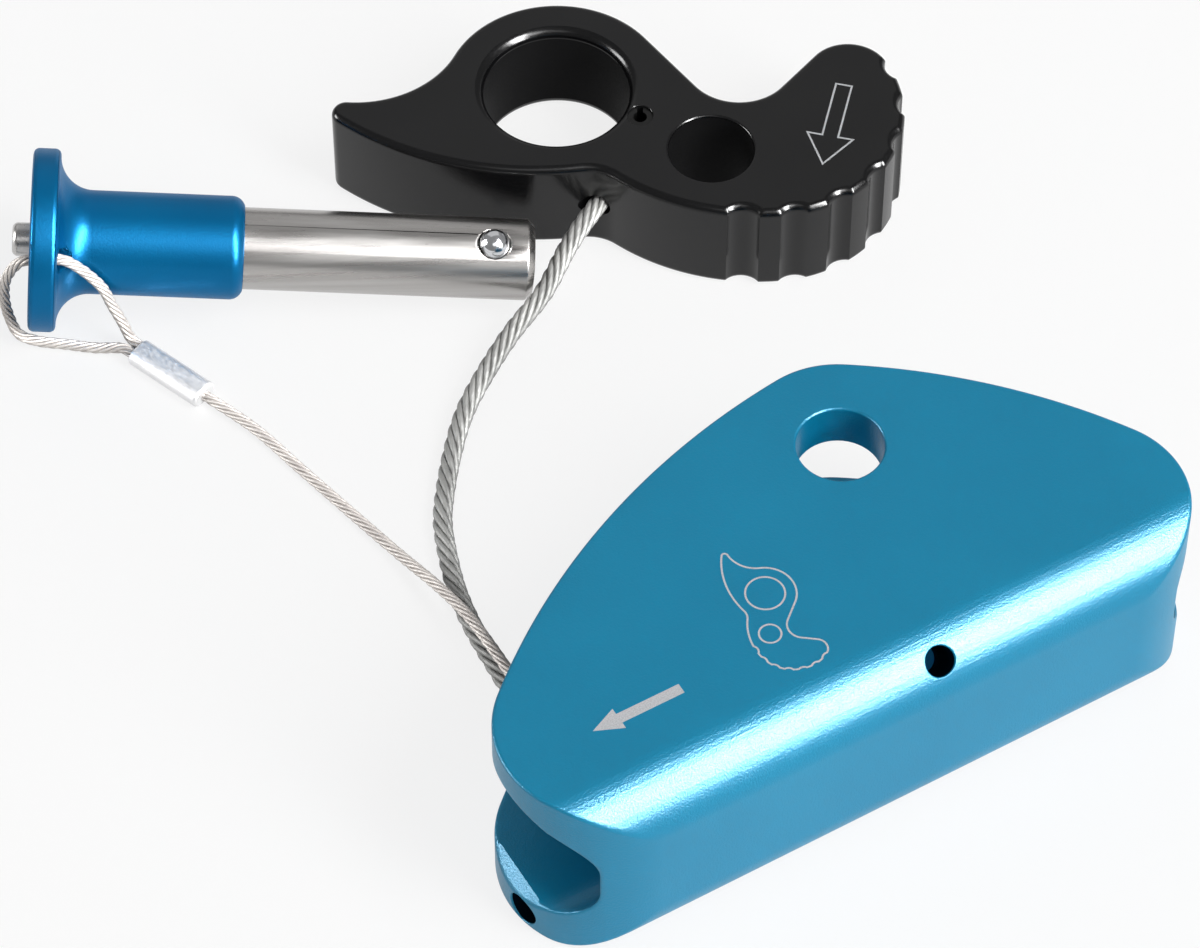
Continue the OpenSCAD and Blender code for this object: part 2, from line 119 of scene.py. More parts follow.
# Tangents and a frame that doesn't twist, along a polyline
def carried_frames(points):
    tangents = []
    for i in range(len(points)):
        tangents.append((points[min(i + 1, len(points) - 1)] - points[max(i - 1, 0)]).normalized())
    side = tangents[0].orthogonal().normalized()
    frames = []
    for t in tangents:
        side = (side - t * side.dot(t)).normalized()
        frames.append((t, side, t.cross(side)))
    return frames


# Tube of a lobed section along a polyline; each section's first direction points away from the rope's core
def add_tube(points, outward, section, verts, faces):
    first = len(verts)
    n = len(section(0))
    for i, p in enumerate(points):
        along = (points[min(i + 1, len(points) - 1)] - points[max(i - 1, 0)]).normalized()
        u = (outward[i] - along * outward[i].dot(along)).normalized()
        v = along.cross(u)
        verts += [p + u * x + v * y for x, y in section(i)]
    for i in range(len(points) - 1):
        for k in range(n):
            a = first + i * n + k
            b = first + i * n + (k + 1) % n
            faces.append((a, b, b + n, a + n))
    faces.append(tuple(first + k for k in reversed(range(n))))
    faces.append(tuple(first + (len(points) - 1) * n + k for k in range(n)))


# Points of a circle about the origin
def circle(r, sides):
    angles = [2 * math.pi * k / sides for k in range(sides)]
    return [(r * math.cos(a), r * math.sin(a)) for a in angles]


# Wire rope: six twisted strands, each of lobed wires, round a core
def make_wire_rope(name, route, d, lay, material):
    strands, wires, per_wire = 6, 6, 3
    groove, lobe, core_sides = 0.86, 0.16, 8
    wire_lay = 0.36 * lay
    centre, length = even_points(curve_through(route, 12), 0.16 * d)
    frames = carried_frames(centre)
    step = length / (len(centre) - 1)
    strand_r = d / 6
    helix_r = d / 2 - strand_r
    core_r = helix_r - 0.55 * strand_r
    verts, faces = [], []

    def wire_section(i):
        twist = 2 * math.pi * i * step / wire_lay
        out = []
        for k in range(wires * per_wire):
            a = 2 * math.pi * k / (wires * per_wire)
            r = strand_r * (groove + lobe * abs(math.cos(wires * a / 2)))
            out.append((r * math.cos(a + twist), r * math.sin(a + twist)))
        return out

    def core_section(i):
        return circle(core_r, core_sides)

    for s in range(strands):
        outward = []
        for i, (_, u, v) in enumerate(frames):
            a = 2 * math.pi * (s / strands - i * step / lay)
            outward.append(u * math.cos(a) + v * math.sin(a))
        points = [p + helix_r * o for p, o in zip(centre, outward)]
        add_tube(points, outward, wire_section, verts, faces)
    add_tube(centre, [f[1] for f in frames], core_section, verts, faces)
    return make_mesh(name, verts, faces, material), centre, length


# Pin and return spring sizes, as in the solids
PIN_AXIS = Vector((0.870785, -0.482684, -0.093544))
PIN_ORIGIN = Vector((-58, 82.3, 10.853))
PIN_TURN = (0, 0, math.radians(-29))
SPRING_START, SPRING_END = 5.65, 12.15
SPRING_WIRE_R = 0.35


# Coil spring round the pin's axis, places along it in millimetres
def make_spring(name, origin, axis, start, end, material):
    coil_r, turns, per_turn, sides = 3.1, 5, 32, 10
    side = axis.orthogonal().normalized()
    points, outward, verts, faces = [], [], [], []
    for i in range(turns * per_turn + 1):
        a = 2 * math.pi * i / per_turn
        outward.append(side * math.cos(a) + axis.cross(side) * math.sin(a))
        along = start + (end - start) * i / (turns * per_turn)
        points.append((origin + axis * along + outward[-1] * coil_r) * MM)

    def section(i):
        return circle(SPRING_WIRE_R * MM, sides)

    add_tube(points, outward, section, verts, faces)
    return make_mesh(name, verts, faces, material)


# Node material with the given values on its shader
def make_material(name, **values):
    material = bpy.data.materials.new(name)
    material.use_nodes = True
    shader = material.node_tree.nodes["Principled BSDF"]
    for key, value in values.items():
        shader.inputs[key.replace("_", " ")].default_value = value
    return material, material.node_tree, shader


# Noise in the object's own coordinates
def add_noise(tree, scale, detail=2.0, stretch=(1, 1, 1), turn=(0, 0, 0)):
    coords = tree.nodes.new("ShaderNodeTexCoord")
    mapping = tree.nodes.new("ShaderNodeMapping")
    mapping.vector_type = "TEXTURE"
    mapping.inputs["Scale"].default_value = stretch
    mapping.inputs["Rotation"].default_value = turn
    noise = tree.nodes.new("ShaderNodeTexNoise")
    noise.inputs["Scale"].default_value = scale
    noise.inputs["Detail"].default_value = detail
    tree.links.new(coords.outputs["Object"], mapping.inputs["Vector"])
    tree.links.new(mapping.outputs["Vector"], noise.inputs["Vector"])
    return noise.outputs["Fac"]


# Ramp between two colours or two levels, into a socket
def ramp_to(tree, fac, socket, low, high, at=(0.3, 0.7)):
    ramp = tree.nodes.new("ShaderNodeValToRGB")
    for element, place, value in zip(ramp.color_ramp.elements, at, (low, high)):
        element.position = place
        element.color = value if isinstance(value, tuple) else (value, value, value, 1)
    tree.links.new(fac, ramp.inputs["Fac"])
    tree.links.new(ramp.outputs["Color"], socket)


# Bump into the shader and its coat
def bump_to(tree, fac, shader, strength, distance):
    bump = tree.nodes.new("ShaderNodeBump")
    bump.inputs["Strength"].default_value = strength
    bump.inputs["Distance"].default_value = distance
    tree.links.new(fac, bump.inputs["Height"])
    tree.links.new(bump.outputs["Normal"], shader.inputs["Normal"])
    tree.links.new(bump.outputs["Normal"], shader.inputs["Coat Normal"])


# Heights of the grain on the metals
SATIN_GRAIN = 0.08 * MM
FINE_GRAIN = 0.02 * MM


# Satin anodised aluminium in a given colour
def anodised(name, dark, light, metallic, roughness, depth, coat):
    material, tree, shader = make_material(
        name, Metallic=metallic, Specular_IOR_Level=0.0, Coat_Weight=coat, Coat_Roughness=0.3)
    grain = add_noise(tree, 4600, 3)
    cloud = add_noise(tree, 60, 2)
    ramp_to(tree, cloud, shader.inputs["Base Color"], dark, light)
    ramp_to(tree, grain, shader.inputs["Roughness"], roughness - 0.05, roughness + 0.05)
    bump_to(tree, grain, shader, depth, SATIN_GRAIN)
    return material


# Black hard-anodised aluminium
def black_anodised(name, specular, roughness):
    material, tree, shader = make_material(name, Specular_IOR_Level=specular)
    grain = add_noise(tree, 4200, 3)
    cloud = add_noise(tree, 90, 3)
    ramp_to(tree, cloud, shader.inputs["Base Color"], (0.0035, 0.0035, 0.004, 1), (0.0055, 0.0055, 0.006, 1))
    ramp_to(tree, grain, shader.inputs["Roughness"], roughness - 0.05, roughness + 0.05)
    bump_to(tree, grain, shader, 0.05, FINE_GRAIN)
    return material


# Ground steel with fine streaks along the pin
def streaked_steel(name, dark, light, roughness, turn):
    material, tree, shader = make_material(name, Metallic=1.0)
    streaks = add_noise(tree, 700, 3, (40, 1, 1), turn)
    ramp_to(tree, streaks, shader.inputs["Base Color"], dark, light)
    ramp_to(tree, streaks, shader.inputs["Roughness"], roughness - 0.04, roughness + 0.06)
    bump_to(tree, streaks, shader, 0.1, FINE_GRAIN)
    return material


# Plain metal with a fine grain and faint cloudiness
def plain_metal(name, dark, light, roughness, scale, depth):
    material, tree, shader = make_material(name, Metallic=1.0)
    grain = add_noise(tree, scale, 3)
    cloud = add_noise(tree, scale / 12, 2)
    ramp_to(tree, cloud, shader.inputs["Base Color"], dark, light)
    ramp_to(tree, grain, shader.inputs["Roughness"], roughness - 0.05, roughness + 0.06)
    bump_to(tree, grain, shader, depth, FINE_GRAIN)
    return material


# Pale laser-marked surface
def marked_surface():
    material, tree, shader = make_material("pale_mark")
    speckle = add_noise(tree, 7000, 2)
    ramp_to(tree, speckle, shader.inputs["Base Color"], (0.42, 0.43, 0.45, 1), (0.60, 0.61, 0.63, 1))
    ramp_to(tree, speckle, shader.inputs["Roughness"], 0.5, 0.7)
    return material


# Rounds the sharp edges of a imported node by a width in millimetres, with its flat faces joined first
def soften(node, width, segments):
    obj = nodes[node]
    weld = obj.modifiers.new("weld", "WELD")
    weld.merge_threshold = 0.002 * MM
    flats = obj.modifiers.new("flats", "DECIMATE")
    flats.decimate_type = "DISSOLVE"
    flats.angle_limit = math.radians(0.2)
    bevel = obj.modifiers.new("bevel", "BEVEL")
    bevel.width = width * MM
    bevel.segments = segments
    bevel.limit_method = "ANGLE"
    bevel.angle_limit = math.radians(30)
    bevel.use_clamp_overlap = False
    bevel.miter_outer = "MITER_ARC"
    obj.modifiers.new("normals", "WEIGHTED_NORMAL")


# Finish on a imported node, with smooth faces
def dress(node, material):
    mesh = nodes[node].data
    mesh.materials.clear()
    mesh.materials.append(material)
    mesh.polygons.foreach_set("use_smooth", [True] * len(mesh.polygons))


# Arrow outline, from the tip round to the tip again
def arrow_points(tip, direction, length, head_l, head_w, shaft_w):
    along = Vector((math.cos(direction), math.sin(direction)))
    across = Vector((-along.y, along.x))
    places = [(0, 0), (head_l, head_w / 2), (head_l, shaft_w / 2), (length, shaft_w / 2),
              (length, -shaft_w / 2), (head_l, -shaft_w / 2), (head_l, -head_w / 2)]
    return [Vector(tip) - along * x + across * y for x, y in places]


# Mitred inset of a closed outline
def inset(outline, distance):
    out = []
    area = sum(a.cross(b) for a, b in zip(outline, outline[1:] + outline[:1]))
    turn = 1 if area > 0 else -1
    for i, p in enumerate(outline):
        a = (p - outline[i - 1]).normalized()
        b = (outline[(i + 1) % len(outline)] - p).normalized()
        na = Vector((-a.y, a.x)) * turn
        nb = Vector((-b.y, b.x)) * turn
        out.append(p + (na + nb) * distance / (1 + na.dot(nb)))
    return out


# How deep a mark sits in its surface, and how far it stands out
MARK_SINK = 0.02
MARK_RISE = 0.015


# Faces of a thin flat mark on a plate at height z, solid or as an outline of the given line width
def mark_faces(outline, z, line):
    low, high = z - MARK_SINK, z + MARK_RISE
    walls = [[Vector((p.x, p.y, h)) for p in outline] for h in (low, high)]
    if not line:
        return strips([ring + ring[:1] for ring in walls]) + [walls[1]]
    inner = [[Vector((p.x, p.y, h)) for p in trimmed_inset(outline, line)] for h in (high, low)]
    return strips([ring + ring[:1] for ring in walls + inner])


# Mark of one or more outlines
def make_mark(name, outlines, z, line, material):
    obj = mesh_of(name, [face for outline in outlines for face in mark_faces(outline, z, line)])
    obj.data.materials.append(material)
    return obj


# Points on an arc about a centre, angles in degrees, both ends included
def arc(centre, r, start, end, step=3.0):
    count = max(1, math.ceil(abs(end - start) / step))
    angles = [math.radians(start + (end - start) * k / count) for k in range(count + 1)]
    return [Vector((centre[0] + r * math.cos(a), centre[1] + r * math.sin(a))) for a in angles]


# Angle in degrees of the line between two points
def heading(p, q):
    return math.degrees(math.atan2(q[1] - p[1], q[0] - p[0]))


# Point at distance r1 from c1 and r2 from c2, to the left (1) or right (-1) of the line c1 to c2
def meet(c1, r1, c2, r2, side):
    line = Vector(c2) - Vector(c1)
    u = line.normalized()
    a = (r1 * r1 - r2 * r2 + line.length_squared) / (2 * line.length)
    return Vector(c1) + a * u + side * math.sqrt(r1 * r1 - a * a) * Vector((-u.y, u.x))


# Rounded corner from a to b round the edge point, both ends included
def corner(a, edge, b, steps=4):
    out = []
    for k in range(steps + 1):
        t = k / steps
        out.append((1 - t) ** 2 * a + 2 * t * (1 - t) * edge + t * t * b)
    return out


# Mesh from loose faces of points in millimetres, with equal points joined
def mesh_of(name, faces):
    bm = bmesh.new()
    for face in faces:
        corners = [p for k, p in enumerate(face) if (p - face[k - 1]).length > TINY]
        if len(corners) > 2:
            bm.faces.new([bm.verts.new(p * MM) for p in corners])
    bmesh.ops.remove_doubles(bm, verts=bm.verts, dist=1e-7)
    bmesh.ops.recalc_face_normals(bm, faces=bm.faces)
    mesh = bpy.data.meshes.new(name)
    bm.to_mesh(mesh)
    bm.free()
    obj = bpy.data.objects.new(name, mesh)
    bpy.context.scene.collection.objects.link(obj)
    return obj


# Cutter for a round hole whose rim is eased where it meets the given surface, with its own lining
def hole_cutter(origin, axis, r, depth, rim, surface, finish, lining, sides=48):
    axis = Vector(axis).normalized()
    u = Vector((0, 1, 0)) if abs(axis.x) > 0.5 else Vector((1, 0, 0))
    v = axis.cross(u)
    rim_steps, rim_angle = 6, 16
    flare, clearance = 0.4, 1.2
    profile = [(r, None)]
    for k in range(rim_steps):
        a = math.radians(rim_angle * k)
        profile.append((r + rim * (1 - math.cos(a)), rim * (math.sin(a) - 1)))
    profile.append((r + rim + flare, clearance))
    rings = []
    for radius, rise in profile:
        ring = []
        for k in range(sides):
            a = 2 * math.pi * k / sides
            x, y = radius * math.cos(a), radius * math.sin(a)
            along = -depth if rise is None else surface(x, y) + rise
            ring.append(Vector(origin) + u * x + v * y + axis * along)
        rings.append(ring)
    faces = [rings[0], rings[-1]]
    for lower, upper in zip(rings, rings[1:]):
        faces += [(lower[k - 1], lower[k], upper[k], upper[k - 1]) for k in range(sides)]
    cutter = mesh_of("cutter", faces)
    cutter.data.materials.append(finish)
    cutter.data.materials.append(lining)
    caps = 2
    for face in cutter.data.polygons[caps:caps + sides]:
        face.material_index = 1
    return cutter


# Least angle of an edge that stays sharp beside smooth faces
SHARP_EDGE = math.radians(40)


# Cuts holes into a piece and leaves a plain mesh with smooth faces and its sharp edges kept
def cut_holes(obj, cutters):
    for cutter in cutters:
        cut = obj.modifiers.new("cut", "BOOLEAN")
        cut.operation = "DIFFERENCE"
        cut.solver = "EXACT"
        cut.material_mode = "TRANSFER"
        cut.object = cutter
    graph = bpy.context.evaluated_depsgraph_get()
    mesh = bpy.data.meshes.new_from_object(obj.evaluated_get(graph))
    obj.modifiers.clear()
    obj.data = mesh
    for cutter in cutters:
        bpy.data.objects.remove(cutter)
    mesh.polygons.foreach_set("use_smooth", [True] * len(mesh.polygons))
    mesh.set_sharp_from_angle(angle=SHARP_EDGE)
    normals = obj.modifiers.new("normals", "WEIGHTED_NORMAL")
    normals.keep_sharp = True


# Shell sizes, as in the solids
SHELL_H = 26
PLATE_T = 5.6
FRONT_Y = -30.7
BEND_R = 6.5
BEND_Y = FRONT_Y + BEND_R
ROOT_R = 5.6
ROOT_Y = FRONT_Y + 2.2 + ROOT_R
MOUTH_CHAMFER = 1.4
APEX_C, APEX_R = (0, 0), 11.3
LEFT_C, LEFT_R = (-40.5, -18.7), 12
RIGHT_C, RIGHT_R = (19.5, -19.9), 10.8
LEFT_EDGE_R = 85
RIGHT_EDGE_R = 75
LEFT_EDGE_C = meet(APEX_C, LEFT_EDGE_R - APEX_R, LEFT_C, LEFT_EDGE_R - LEFT_R, 1)
RIGHT_EDGE_C = meet(RIGHT_C, RIGHT_EDGE_R - RIGHT_R, APEX_C, RIGHT_EDGE_R - APEX_R, 1)
BEND_STEPS, ROOT_STEPS = 15, 12
EDGE_ROUND = 0.4
MOUTH_ROUND = 0.45
LIP_SHARE = 0.6
LEAST_SLOPE = 0.35


# Places of the rows that cross the shell from end to end, from the front wall to the flat of the channel
def shell_rows():
    bend = [BEND_Y - BEND_R * math.cos(math.radians(90 * k / BEND_STEPS)) for k in range(BEND_STEPS + 1)]
    root = [ROOT_Y - ROOT_R * math.cos(math.radians(90 * k / ROOT_STEPS)) for k in range(ROOT_STEPS + 1)]
    start = ROOT_Y - ROOT_R - MOUTH_ROUND
    bend = [y for y in bend if not start < y < ROOT_Y - ROOT_R]
    return [y for y in sorted(bend + root + [start]) if y < ROOT_Y + TINY]


# Point of the plan outline on the left (-1) or right (1) end, at a given y
def end_point(side, y):
    centre, r = (LEFT_C, LEFT_R) if side < 0 else (RIGHT_C, RIGHT_R)
    return Vector((centre[0] + side * math.sqrt(max(0, r * r - (y - centre[1]) ** 2)), y))


# Plan outline from the front left round the back to the front right
def shell_outline(rows):
    left = [end_point(-1, y) for y in rows]
    right = [end_point(1, y) for y in rows]
    left_turn = heading(LEFT_EDGE_C, LEFT_C)
    right_turn = heading(RIGHT_EDGE_C, RIGHT_C)
    left_apex = heading(LEFT_EDGE_C, APEX_C)
    right_apex = heading(RIGHT_EDGE_C, APEX_C)
    back = arc(LEFT_C, LEFT_R, heading(LEFT_C, left[-1]) % 360, left_turn, 2)[1:]
    back += arc(LEFT_EDGE_C, LEFT_EDGE_R, left_turn, left_apex, 0.6)[1:]
    back += arc(APEX_C, APEX_R, left_apex, right_apex, 2.5)[1:]
    back += arc(RIGHT_EDGE_C, RIGHT_EDGE_R, right_apex, right_turn, 0.6)[1:]
    back += arc(RIGHT_C, RIGHT_R, right_turn, heading(RIGHT_C, right[-1]), 2)[1:-1]
    return left + back + right[::-1]


# Direction in the plan from each point of the outline into the plate
def shell_inward(outline):
    out = [Vector((0, 1))]
    for before, after in zip(outline, outline[2:]):
        along = (after - before).normalized()
        out.append(Vector((along.y, -along.x)))
    return out + [Vector((0, 1))]


# Rounded outer edge at a point of the outline, from the plate or bend to the wall
def shell_rim(p, inward, across):
    lift = max(0, BEND_Y - p.y)
    edge = Vector((p.x, p.y, SHELL_H - BEND_R + math.sqrt(max(0, BEND_R ** 2 - lift ** 2))))
    step = inward * EDGE_ROUND
    if p.y < BEND_Y + TINY:
        step = across * EDGE_ROUND / max(abs(inward.x), LEAST_SLOPE)
    return corner(edge + step.to_3d(), edge, edge - Vector((0, 0, EDGE_ROUND)))


# Rounded edge of the channel's mouth at a point of the outline, from the wall to the channel, and its lip
def shell_mouth(p, inward, across):
    drop = max(0, ROOT_Y - p.y)
    arc_z = SHELL_H - PLATE_T - ROOT_R
    z = arc_z + math.sqrt(max(0, ROOT_R ** 2 - drop ** 2))
    wall_at = end_point(-across.x, p.y - MOUTH_ROUND * drop / ROOT_R) if drop > 0 else p
    wall_z = z + MOUTH_ROUND * (z - arc_z) / ROOT_R
    ease = max(0, LEFT_C[0] - LEFT_R + MOUTH_CHAMFER - p.x)
    edge = Vector((p.x, p.y, z + ease))
    foot = Vector((p.x + ease, p.y, z))
    wall = Vector((wall_at.x, wall_at.y, wall_z + ease))
    step = inward * MOUTH_ROUND
    if ease > 0 or p.y < ROOT_Y + TINY:
        step = across * MOUTH_ROUND / max(abs(inward.x), LEAST_SLOPE)
    facet = ease * math.sqrt(2)
    if facet > 1.3 * MOUTH_ROUND:
        return corner(wall, edge, edge.lerp(foot, MOUTH_ROUND / facet)) + [foot]
    inner = foot + step.to_3d() * max(0, 1 - facet / MOUTH_ROUND)
    return corner(wall, edge, inner) + [inner + LIP_SHARE * step.to_3d()]


# Strips of faces between neighbouring rows of points
def strips(lines):
    faces = []
    for a, b in zip(lines, lines[1:]):
        faces += [(a[k], a[k + 1], b[k + 1], b[k]) for k in range(min(len(a), len(b)) - 1)]
    return faces


# Upper half of the shell's surface; the lower half is its mirror image
def shell_half():
    rows = shell_rows()
    outline = shell_outline(rows)
    inward = shell_inward(outline)
    last = len(outline) - 1
    across = [Vector((1 if i < last / 2 else -1, 0)) for i in range(last + 1)]
    rims = [shell_rim(*at) for at in zip(outline, inward, across)]
    bend_row = rows.index(max(y for y in rows if y < BEND_Y + TINY))
    root_row = rows.index(max(y for y in rows if y < ROOT_Y - ROOT_R + TINY))
    flat_row = len(rows) - 1
    mouths = {i: shell_mouth(outline[i], inward[i], across[i]) for i in range(root_row, last + 1 - root_row)}
    arc_z = SHELL_H - PLATE_T - ROOT_R

    def level(p, z):
        return Vector((p.x, p.y, z))

    # Plate, bend and rounded rim
    faces = strips(rims)
    faces += strips([[rims[j][0], rims[last - j][0]] for j in range(bend_row + 1)])
    faces.append([rims[i][0] for i in range(bend_row, last + 1 - bend_row)])

    # Front wall
    middle = SHELL_H / 2
    front = rims[0] + [level(outline[0], middle), level(outline[last], middle)] + rims[last][::-1]
    faces.append(front)

    # End walls, from the front wall to the channel's mouth
    left_end = list(range(root_row + 1))
    for ends in (left_end, [last - j for j in left_end]):
        for i, k in zip(ends, ends[1:-1]):
            lower = [level(outline[k], middle), level(outline[i], middle)]
            if k == ends[-2]:
                lower = [level(outline[k], arc_z)] + lower
            faces.append([rims[i][-1], rims[k][-1]] + lower)
        k, r = ends[-2:]
        faces.append([rims[k][-1], rims[r][-1], mouths[r][0]])
        faces += strips([mouths[r], [level(p, middle) for p in mouths[r]]])

    # Plate edges above the channel, and the channel itself
    order = sorted(mouths)
    faces += strips([[rims[i][-1], mouths[i][0]] for i in order])
    faces += strips([mouths[i] for i in order])
    lips = {i: mouths[i][-1] for i in order}
    channel = [[level(lips[root_row], middle), level(lips[last - root_row], middle)]]
    channel += [[lips[j], lips[last - j]] for j in range(root_row, flat_row + 1)]
    faces += strips(channel)
    faces.append([lips[i] for i in range(flat_row, last + 1 - flat_row)])
    return faces


# Height of a flat surface over a hole
def flat(x, y):
    return 0


# Shell with its rounded edges, pin holes and drillings
def make_shell(finish, lining):
    upper = shell_half()
    lower = [[Vector((p.x, p.y, SHELL_H - p.z)) for p in face] for face in upper]
    obj = mesh_of("shell_body", upper + lower)
    obj.data.materials.append(finish)
    pin_hole_r, end_hole_r, bend_hole_r, anchor_r = 4.85, 1.95, 1.7, 2.2
    pin_hole_depth = PLATE_T + 1
    pin_rim, drill_rim = 0.3, 0.2
    bend_x = -5.4
    end_y, end_z = -20.9, 2.3
    anchor_x, anchor_y = -38.7, -14

    def end_wall(y, z):
        return math.sqrt(LEFT_R ** 2 - (end_y + y - LEFT_C[1]) ** 2)

    def bend(x, y):
        return math.sqrt(BEND_R ** 2 - y ** 2)

    def back_edge(x, z):
        rise = math.sqrt(LEFT_EDGE_R ** 2 - (anchor_x + x - LEFT_EDGE_C.x) ** 2)
        return LEFT_EDGE_C.y + rise - anchor_y

    # The bend, end and anchor holes are lined with near-black painted shade inside their bores
    cut_holes(obj, [
        hole_cutter((0, 0, SHELL_H), (0, 0, 1), pin_hole_r, pin_hole_depth, pin_rim, flat, finish, finish),
        hole_cutter((0, 0, 0), (0, 0, -1), pin_hole_r, pin_hole_depth, pin_rim, flat, finish, finish),
        hole_cutter((bend_x, BEND_Y, SHELL_H - BEND_R), (0, -1, 1), bend_hole_r, BEND_R, drill_rim,
                    bend, finish, lining),
        hole_cutter((LEFT_C[0], end_y, end_z), (-1, 0, 0), end_hole_r, -3, drill_rim,
                    end_wall, finish, lining),
        hole_cutter((anchor_x, anchor_y, PLATE_T / 2), (0, 1, 0), anchor_r, 0, drill_rim,
                    back_edge, finish, lining)])
    return obj


# Cam sizes, as in the solids, measured from the pivot bore
CAM_AT = Vector((15.8, 52.8))
CAM_T = 13
PIVOT_R = 5
EYE_C, EYE_R, RING_R = (-10.7, 17.4), 8.6, 13.3
LOBE_C, LOBE_R = (8.9, 2.2), 16.2
NOSE_R, NOSE_ANGLE = 5.1, -2
FLANK_ANGLE, FLANK_SHIFT = 245.6, 10.65
FLANK_R = LOBE_R + FLANK_SHIFT
TAIL_R, TAIL_L, TAIL_MID, TAIL_MID_ANGLE = 37.7, 15.53, (-26.86, 13.24), 225
TIP_R = 1.7
NECK_R = 12.5
VALLEY_C, VALLEY_R = (10, 10.3), 6.3
WAIST_R = 5
FLUTES, FLUTE_DEPTH, FLUTE_W = 7, 0.7, 3.4
FLUTE_FIRST, FLUTE_PITCH = -7.2, -20.5
CAM_ROUND = 0.9


# Point at a distance and an angle in degrees from a centre
def polar(centre, r, angle):
    a = math.radians(angle)
    return Vector((centre[0] + r * math.cos(a), centre[1] + r * math.sin(a)))


# Angles on two circles where a line that crosses between them touches both
def cross_angle(c1, r1, c2, r2, side):
    return heading(c1, c2) + side * math.degrees(math.acos((r1 + r2) / (Vector(c2) - Vector(c1)).length))


# Arc that turns clockwise, without its last point
def clockwise(centre, r, start, end, step):
    return arc(centre, r, start, start - (start - end) % 360, step)[:-1]


# Arc that turns against the clock, without its last point
def counter(centre, r, start, end, step):
    return arc(centre, r, start, start + (end - start) % 360, step)[:-1]


# Toothed edge, clockwise from the first flute's end on the nose to the waist
def toothed_edge(nose_c, flank_c, waist_flank):
    flute_r = (FLUTE_W ** 2 / 4 + FLUTE_DEPTH ** 2) / (2 * FLUTE_DEPTH)
    half = math.degrees(FLUTE_W / 2 / LOBE_R)
    points = []
    for k in range(FLUTES):
        middle = FLUTE_FIRST + FLUTE_PITCH * k
        flute_c = polar(LOBE_C, LOBE_R + flute_r - FLUTE_DEPTH, middle)
        carriers = []
        for angle in (middle + half, middle - half):
            carriers.append((LOBE_C, LOBE_R) if angle > FLANK_ANGLE - 360 else (flank_c, FLANK_R))
        if k == 0:
            carriers[0] = (nose_c, NOSE_R)
        first = meet(*carriers[0], flute_c, flute_r, 1)
        if k > 0:
            carrier = carriers[0][0]
            points += clockwise(*carriers[0], heading(carrier, last), heading(carrier, first), 1.5)
        last = meet(*carriers[1], flute_c, flute_r, -1)
        points += counter(flute_c, flute_r, heading(flute_c, first), heading(flute_c, last), 8)
    return points + clockwise(flank_c, FLANK_R, heading(flank_c, last), waist_flank, 1)


# Cam outline, clockwise from the nose: teeth, flank, waist, tail, neck, ring and valley
def cam_outline():
    nose_c = polar(LOBE_C, LOBE_R - NOSE_R, NOSE_ANGLE)
    flank_c = polar(LOBE_C, -FLANK_SHIFT, FLANK_ANGLE)
    tail_c = polar(TAIL_MID, -TAIL_R, TAIL_MID_ANGLE)
    tip_angle = TAIL_MID_ANGLE - math.degrees(TAIL_L / TAIL_R)
    tip_c = polar(tail_c, TAIL_R - TIP_R, tip_angle)
    neck_c = meet(EYE_C, RING_R + NECK_R, tip_c, TIP_R + NECK_R, -1)
    waist_c = meet(tail_c, TAIL_R + WAIST_R, flank_c, FLANK_R + WAIST_R, -1)
    ring_line = cross_angle(EYE_C, RING_R, VALLEY_C, VALLEY_R, 1)
    nose_line = cross_angle(VALLEY_C, VALLEY_R, nose_c, NOSE_R, -1)
    waist_flank = heading(flank_c, waist_c)
    waist_tail = heading(tail_c, waist_c)
    tip_neck = heading(tip_c, neck_c)
    ring_neck = heading(EYE_C, neck_c)
    points = toothed_edge(nose_c, flank_c, waist_flank)
    points += counter(waist_c, WAIST_R, waist_flank + 180, waist_tail + 180, 4)
    points += clockwise(tail_c, TAIL_R, waist_tail, tip_angle, 1)
    points += clockwise(tip_c, TIP_R, tip_angle, tip_neck, 10)
    points += counter(neck_c, NECK_R, tip_neck + 180, ring_neck + 180, 3)
    points += arc(EYE_C, RING_R, ring_neck, ring_neck - (ring_neck - ring_line) % 360, 2.5)
    valley_start = ring_line + 180
    points += arc(VALLEY_C, VALLEY_R, valley_start, valley_start + (nose_line - valley_start) % 360, 4)
    points += clockwise(nose_c, NOSE_R, nose_line + 180, heading(nose_c, points[0]), 5)
    return [p + CAM_AT for p in points]


# Least turn of a corner that counts as sharp in an outline
SHARP_TURN = math.radians(25)


# Inset of an outline; points close to a sharp corner run into the corner's own line
def trimmed_inset(outline, distance):
    moved = inset(outline, distance)
    out = list(moved)
    count = len(outline)
    for i, p in enumerate(outline):
        a = p - outline[i - 1]
        b = outline[(i + 1) % count] - p
        turn = abs(a.angle_signed(b))
        if turn < SHARP_TURN:
            continue
        for k in (-2, -1, 1, 2):
            other = (i + k) % count
            if (outline[other] - p).length < 1.05 * distance * math.tan(turn / 2):
                out[other] = moved[i]
    return out


# Plate of a closed outline with both rims rounded
def rounded_plate(name, outline, thickness, r, steps=5):
    rings = []
    for k in range(steps + 1):
        a = math.radians(90 * k / steps)
        ring = trimmed_inset(outline, r * (1 - math.sin(a)))
        rings.append([Vector((p.x, p.y, r * (1 - math.cos(a)))) for p in ring])
    rings += [[Vector((p.x, p.y, thickness - p.z)) for p in ring] for ring in rings[::-1]]
    faces = [rings[0], rings[-1]] + strips([ring + ring[:1] for ring in rings])
    return mesh_of(name, faces)


